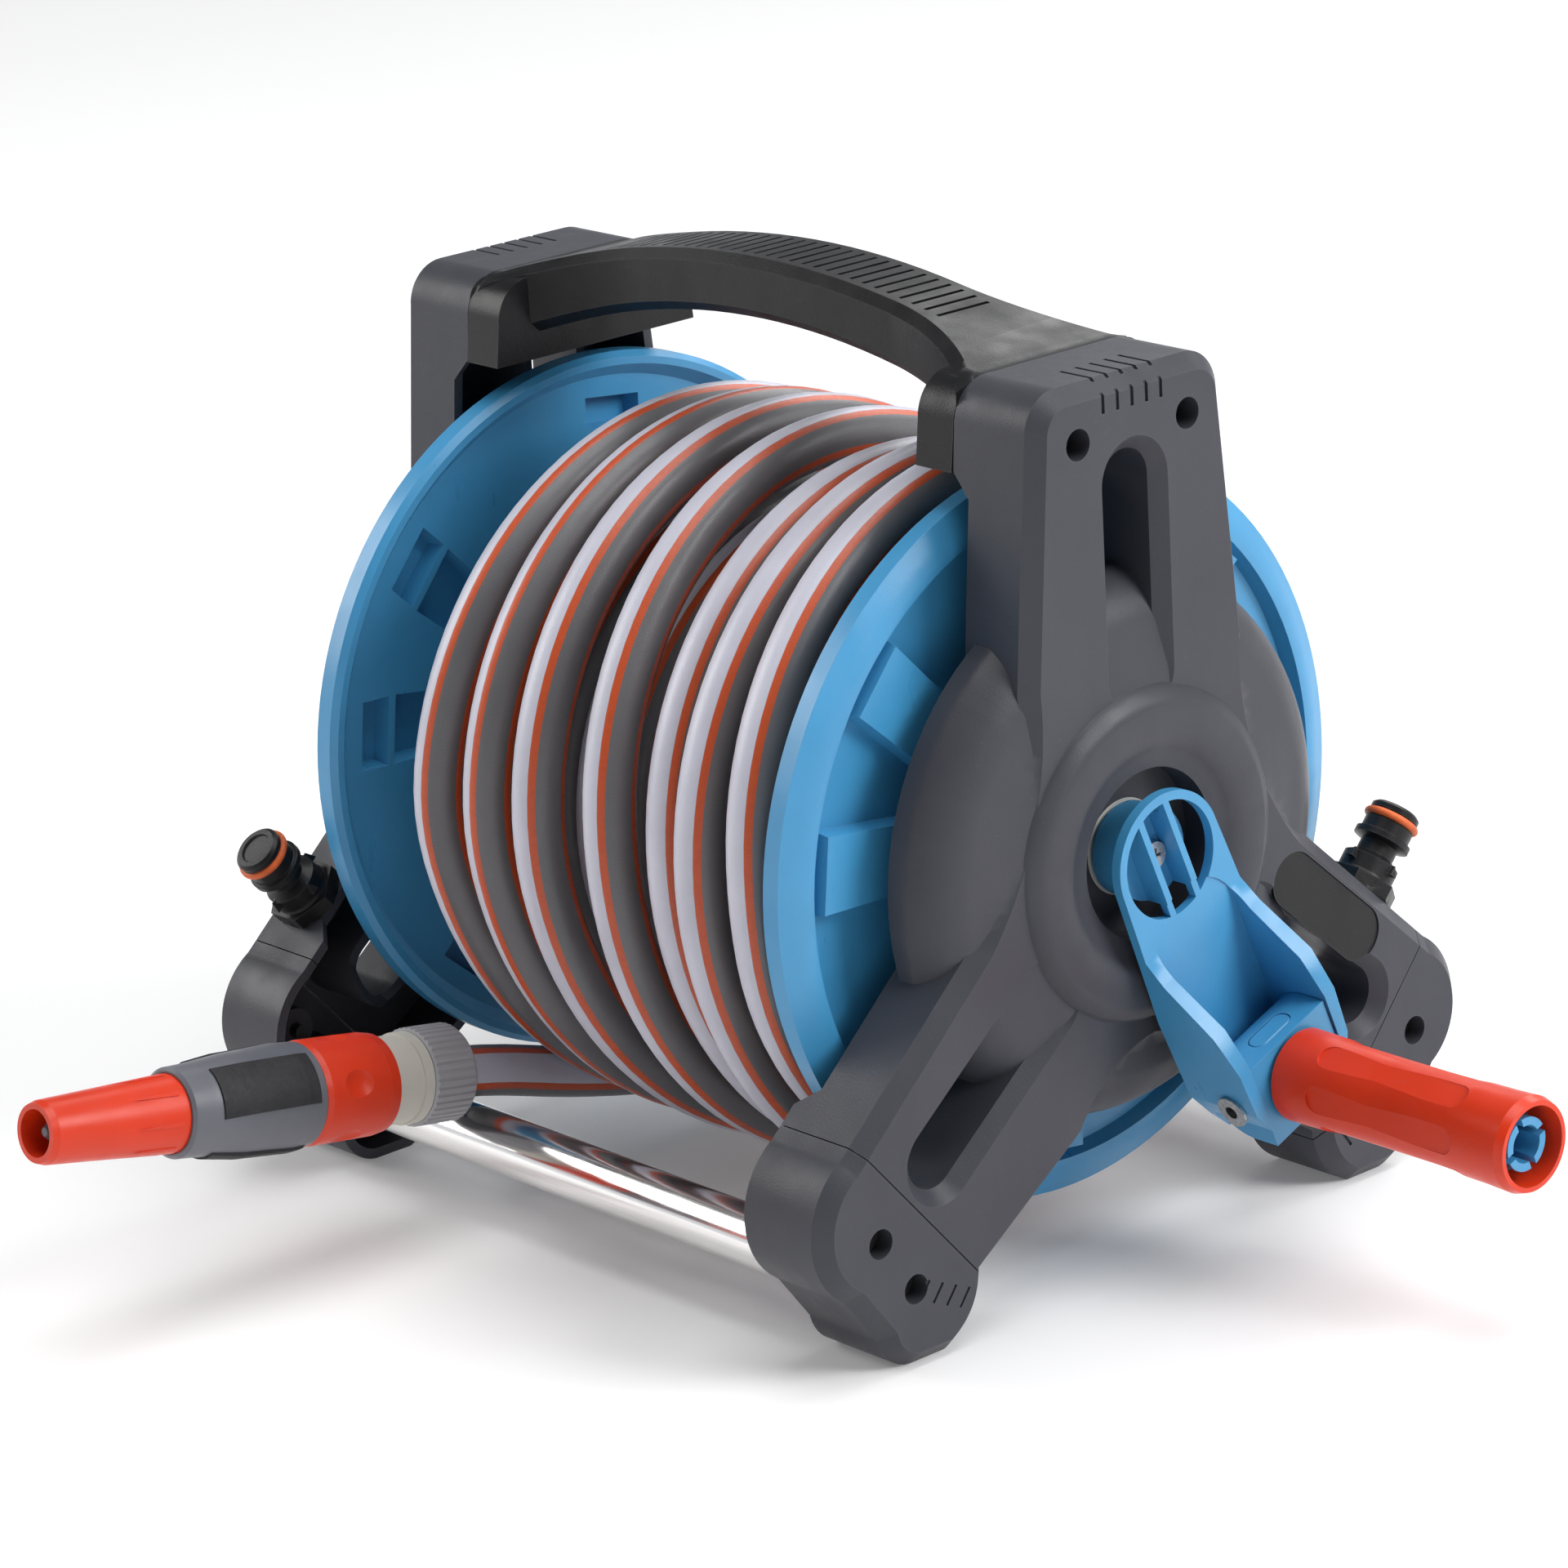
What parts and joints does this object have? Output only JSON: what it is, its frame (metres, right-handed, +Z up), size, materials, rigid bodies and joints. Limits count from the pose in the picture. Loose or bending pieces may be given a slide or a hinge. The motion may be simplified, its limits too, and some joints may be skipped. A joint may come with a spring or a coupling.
{
  "type": "garden hose reel",
  "caption": "Portable hose reel: a crank-driven drum between two three-armed side frames, carrying bar, cross tubes, wound hose and twist nozzle.",
  "frame": {"origin": "on the ground, under the middle of the reel's box without the free hose", "axes": "+X along the drum axis towards the crank, -Y the side where the hose leaves, +Z up"},
  "size_m": [0.4665, 0.427, 0.309],
  "materials": {
    "frame_plastic": "fine moulded texture",
    "black_plastic": "fine moulded texture",
    "blue_plastic": "satin moulded",
    "orange_plastic": "satin moulded",
    "bearing_plastic": "smooth",
    "nozzle_plastic": "satin moulded",
    "white_plastic": "satin moulded",
    "soft_black": "soft touch",
    "seal_rubber": "smooth rubber",
    "hose": "striped reinforced hose",
    "steel_tube": "polished",
    "screw_steel": "zinc plated"
  },
  "bodies": {
    "frame": {"right_frame": "frame_plastic", "left_frame": "frame_plastic", "foot_cap_right_rear": "frame_plastic", "foot_cap_right_front": "frame_plastic", "foot_cap_left_rear": "frame_plastic", "foot_cap_left_front": "frame_plastic", "carry_handle": "black_plastic", "front_tube": "steel_tube", "rear_tube": "steel_tube", "handle_screws": "screw_steel", "foot_screws": "screw_steel", "right_parking_stub": "black_plastic", "left_parking_stub": "black_plastic", "right_stub_seal": "seal_rubber", "left_stub_seal": "seal_rubber", "right_bush": "bearing_plastic", "left_bush": "bearing_plastic", "right_badge": "black_plastic", "left_badge": "black_plastic", "hose_lead": "hose", "hose_nut": "nozzle_plastic", "connector_body": "white_plastic", "nozzle_body": "nozzle_plastic", "nozzle_pads": "soft_black", "nozzle_pin": "nozzle_plastic"},
    "drum": {"right_flange": "blue_plastic", "left_flange": "blue_plastic", "drum_barrel": "blue_plastic", "drive_shaft": "bearing_plastic", "water_shaft": "bearing_plastic", "shaft_seal": "seal_rubber", "hose_tail": "nozzle_plastic", "tail_nut": "nozzle_plastic", "hose_coil": "hose", "crank_arm": "blue_plastic", "crank_screw": "screw_steel", "fold_pin": "screw_steel"},
    "grip": {"grip_core": "blue_plastic"},
    "grip_cover": {"grip_sleeve": "orange_plastic"},
    "fold_button": {"fold_button": "blue_plastic"},
    "inlet": {"inlet_elbow": "nozzle_plastic", "inlet_seal": "seal_rubber"},
    "connector_sleeve": {"connector_sleeve": "orange_plastic"},
    "nozzle_tip": {"nozzle_tip": "orange_plastic"}
  },
  "joints": [
    {"name": "drum_spin", "type": "hinge", "parent": "frame", "child": "drum", "pos_m": [-0.0485, 0, 0.138], "axis": [1, 0, 0], "continuous": true},
    {"name": "grip_fold", "type": "hinge", "parent": "drum", "child": "grip", "pos_m": [0.1275, 0.02959, 0.06475], "axis": [0, 0.9272, 0.3746], "range_deg": [-90, 0]},
    {"name": "grip_spin", "type": "hinge", "parent": "grip", "child": "grip_cover", "pos_m": [0.1515, 0.02959, 0.06475], "axis": [1, 0, 0], "continuous": true},
    {"name": "button_press", "type": "slide", "parent": "grip", "child": "fold_button", "axis": [0, 0.3746, -0.9272], "range_m": [0, 0.0012], "stiffness_N_per_m": 1500, "springref_m": -0.0005},
    {"name": "inlet_swivel", "type": "hinge", "parent": "frame", "child": "inlet", "pos_m": [-0.2215, 0, 0.138], "axis": [-1, 0, 0], "continuous": true},
    {"name": "sleeve_release", "type": "slide", "parent": "frame", "child": "connector_sleeve", "axis": [0, 0.9863, -0.165], "range_m": [0, 0.003], "stiffness_N_per_m": 900, "springref_m": -0.001},
    {"name": "nozzle_twist", "type": "hinge", "parent": "frame", "child": "nozzle_tip", "pos_m": [-0.1025, -0.23935, 0.07081], "axis": [0, -0.9863, 0.165], "range_deg": [0, 270]}
  ]
}
